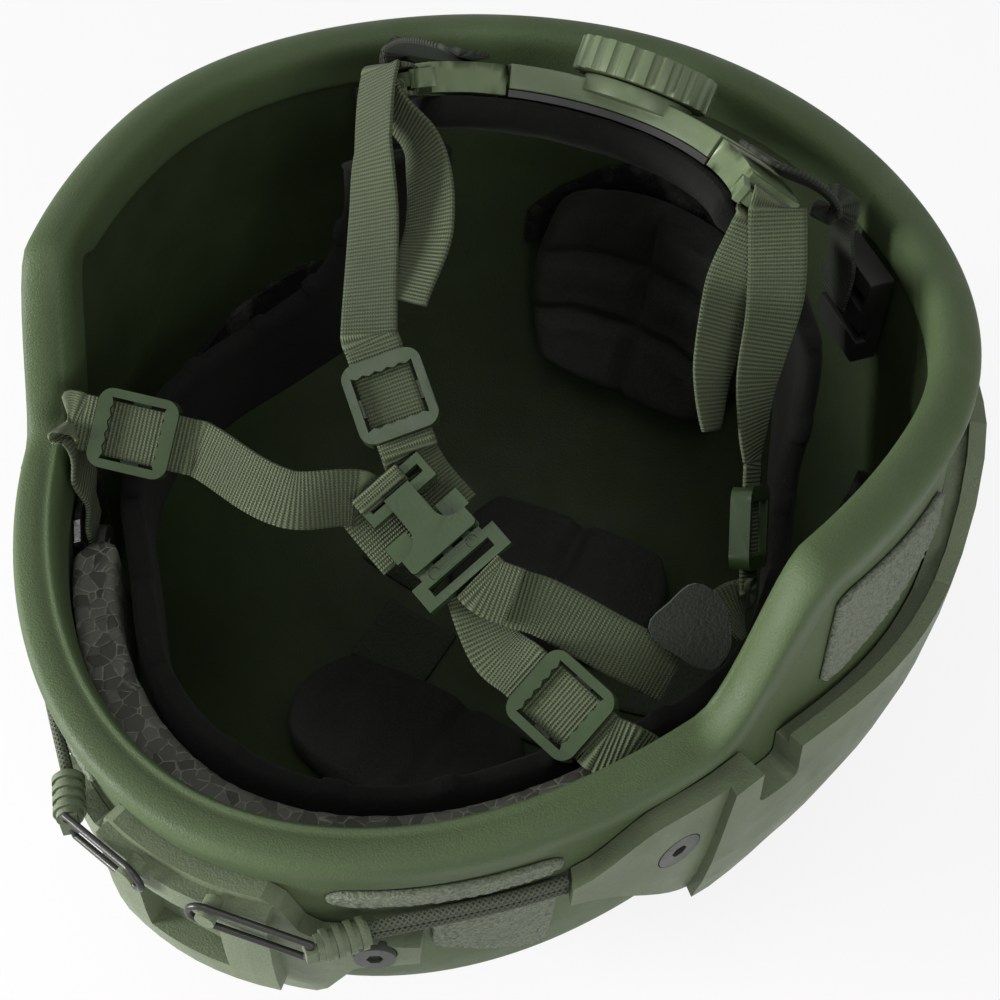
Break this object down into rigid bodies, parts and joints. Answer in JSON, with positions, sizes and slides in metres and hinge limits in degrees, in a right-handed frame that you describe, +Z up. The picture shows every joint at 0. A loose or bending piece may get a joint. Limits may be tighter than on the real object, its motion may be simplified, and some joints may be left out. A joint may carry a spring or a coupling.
{
  "type": "combat helmet",
  "caption": "Full cut combat helmet lying on its crown, with side rails, front shroud, padded liner, dial adjusted rear cradle, chin straps and a side release buckle.",
  "frame": {"origin": "centre of the footprint at the lowest point of the crown, on which the helmet lies", "axes": "+Z up out of the head opening, -Y towards the brow, +X towards the wearer's right side"},
  "size_m": [0.2646, 0.2849, 0.2102],
  "materials": {
    "shell_paint": "matte textured coating on a laminate shell",
    "trim_rubber": "satin olive rubber",
    "rail_plastic": "moulded olive polymer",
    "fastener": "black coated steel",
    "hook_wire": "black coated wire",
    "cord": "braided elastic cord",
    "loop_tape": "woven loop tape",
    "bead_foam": "black expanded bead foam",
    "liner_fabric": "dark padded fabric",
    "gloss_black": "glossy black polymer",
    "dark_plastic": "matte black polymer",
    "dark_webbing": "dark woven webbing",
    "green_plastic": "moulded olive polymer",
    "green_webbing": "olive woven webbing",
    "tab_fabric": "dark brushed fabric"
  },
  "bodies": {
    "helmet": {"shell": "shell_paint", "edge_trim": "trim_rubber", "nvg_shroud": "rail_plastic", "shroud_screws": "fastener", "rail_right": "rail_plastic", "rail_left": "rail_plastic", "rail_screws": "fastener", "rail_nuts": "fastener", "bungee_right": "cord", "bungee_left": "cord", "ferrule_right": "rail_plastic", "ferrule_left": "rail_plastic", "loop_strip_right": "loop_tape", "loop_strip_left": "loop_tape", "loop_front_right": "loop_tape", "loop_front_left": "loop_tape", "loop_side_right": "loop_tape", "loop_side_left": "loop_tape", "bead_foam": "bead_foam", "headband": "liner_fabric", "pad_rear": "liner_fabric", "pad_crown": "liner_fabric", "pad_front": "liner_fabric", "pad_loops": "loop_tape", "frame_strip_right": "gloss_black", "frame_strip_left": "gloss_black", "frame_arch": "gloss_black", "nape_bracket_right": "dark_plastic", "nape_bracket_left": "dark_plastic", "nape_web_right": "dark_webbing", "nape_web_left": "dark_webbing", "anchor_right": "gloss_black", "anchor_left": "gloss_black", "cradle_housing": "green_plastic", "cradle_cover": "dark_plastic", "cradle_pad": "liner_fabric", "strap_rear_left": "green_webbing", "strap_rear_right": "green_webbing", "strap_front_left": "green_webbing", "strap_front_right": "green_webbing", "strap_chin": "green_webbing", "chin_tab": "tab_fabric", "buckle_socket": "green_plastic"},
    "dial": {"dial_knob": "green_plastic", "dial_drive": "dark_plastic"},
    "arm_right": {"cradle_arm_right": "green_plastic"},
    "arm_left": {"cradle_arm_left": "green_plastic"},
    "hook_right": {"hook_right": "hook_wire"},
    "hook_left": {"hook_left": "hook_wire"},
    "slider_a": {"slider_a": "green_plastic"},
    "slider_b": {"slider_b": "green_plastic"},
    "slider_c": {"slider_c": "green_plastic"},
    "slider_d": {"slider_d": "green_plastic"},
    "plug": {"buckle_plug": "green_plastic"},
    "prong_right": {"prong_right": "green_plastic"},
    "prong_left": {"prong_left": "green_plastic"}
  },
  "joints": [
    {"name": "dial_turn", "type": "hinge", "parent": "helmet", "child": "dial", "pos_m": [0.003, 0.09976, 0.18856], "axis": [0, 0.7314, 0.682], "range_deg": [0, 100]},
    {"name": "arm_right_swing", "type": "hinge", "parent": "helmet", "child": "arm_right", "pos_m": [0.003, 0.0439, 0.215], "axis": [0, -0.3746, -0.9272], "range_deg": [0, 8], "deforming": ["strap_rear_right", "nape_web_right"]},
    {"name": "arm_left_swing", "type": "hinge", "parent": "helmet", "child": "arm_left", "pos_m": [0.003, 0.0439, 0.215], "axis": [0, 0.3746, 0.9272], "range_deg": [0, 8], "deforming": ["strap_rear_left", "nape_web_left"]},
    {"name": "hook_right_swing", "type": "hinge", "parent": "helmet", "child": "hook_right", "pos_m": [0.03528, -0.13394, 0.11014], "axis": [0.2603, 0.0538, 0.964], "range_deg": [0, 50]},
    {"name": "hook_left_swing", "type": "hinge", "parent": "helmet", "child": "hook_left", "pos_m": [-0.03528, -0.13394, 0.11014], "axis": [0.2603, -0.0538, -0.964], "range_deg": [0, 50]},
    {"name": "slider_a_slide", "type": "slide", "parent": "helmet", "child": "slider_a", "axis": [0.6946, -0.5818, -0.4231], "range_m": [-0.008, 0.002], "deforming": ["strap_rear_left"]},
    {"name": "slider_b_slide", "type": "slide", "parent": "helmet", "child": "slider_b", "axis": [0.9544, 0.2813, -0.1005], "range_m": [-0.002, 0.008], "deforming": ["strap_front_left"]},
    {"name": "slider_c_slide", "type": "slide", "parent": "helmet", "child": "slider_c", "axis": [0.9551, -0.275, -0.11], "range_m": [-0.003, 0.005], "deforming": ["strap_front_right"]},
    {"name": "slider_d_slide", "type": "slide", "parent": "helmet", "child": "slider_d", "axis": [0.3289, -0.6678, -0.6678], "range_m": [-0.006, 0.002], "deforming": ["strap_rear_right"]},
    {"name": "plug_slide", "type": "slide", "parent": "helmet", "child": "plug", "axis": [0.9066, -0.3269, -0.2669], "range_m": [0, 0.016], "deforming": ["strap_chin", "strap_front_right"]},
    {"name": "prong_right_press", "type": "hinge", "parent": "plug", "child": "prong_right", "pos_m": [0.02477, -0.03394, 0.14968], "axis": [0.0825, -0.483, 0.8717], "range_deg": [0, 14], "stiffness_Nm_per_rad": 0.02},
    {"name": "prong_left_press", "type": "hinge", "parent": "plug", "child": "prong_left", "pos_m": [0.01964, -0.04401, 0.14458], "axis": [-0.0825, 0.483, -0.8717], "range_deg": [0, 14], "stiffness_Nm_per_rad": 0.02}
  ],
  "couplings": [
    {"joint": "arm_right_swing", "follows": "dial_turn", "ratio": 0.08},
    {"joint": "arm_left_swing", "follows": "dial_turn", "ratio": 0.08}
  ]
}
